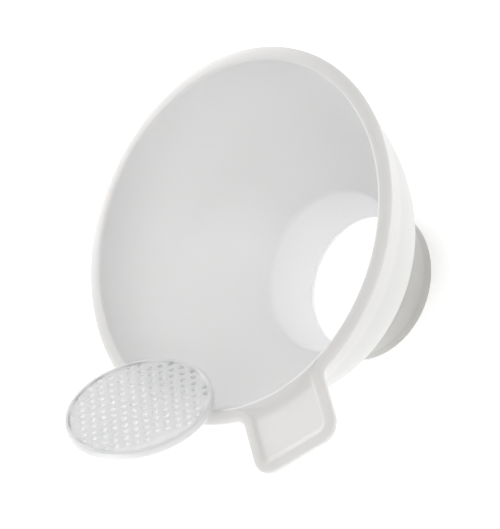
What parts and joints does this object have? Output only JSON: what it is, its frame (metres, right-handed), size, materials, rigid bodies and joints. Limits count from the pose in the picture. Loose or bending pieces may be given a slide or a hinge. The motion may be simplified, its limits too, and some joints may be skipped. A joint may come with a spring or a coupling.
{
  "type": "wide-neck funnel",
  "caption": "Wide-neck plastic funnel with a round bowl, tapered spout, recessed finger tab and a loose perforated strainer disc.",
  "frame": {"origin": "centre of the spout's flat end, on the funnel's axis", "axes": "+Z along the funnel's axis from the spout to the mouth, +X from the axis towards the finger tab"},
  "size_m": [0.1611, 0.1447, 0.1115],
  "materials": {
    "funnel_plastic": "white moulded polypropylene, satin gloss",
    "strainer_plastic": "natural translucent white polypropylene, gloss"
  },
  "bodies": {
    "funnel_body": {"funnel": "funnel_plastic"},
    "strainer_body": {"strainer": "strainer_plastic"}
  },
  "joints": [
    {"name": "strainer_slide", "type": "slide", "parent": "funnel_body", "child": "strainer_body", "axis": [0.5225, -0.5391, 0.6606], "range_m": [-0.1002, 0]}
  ]
}
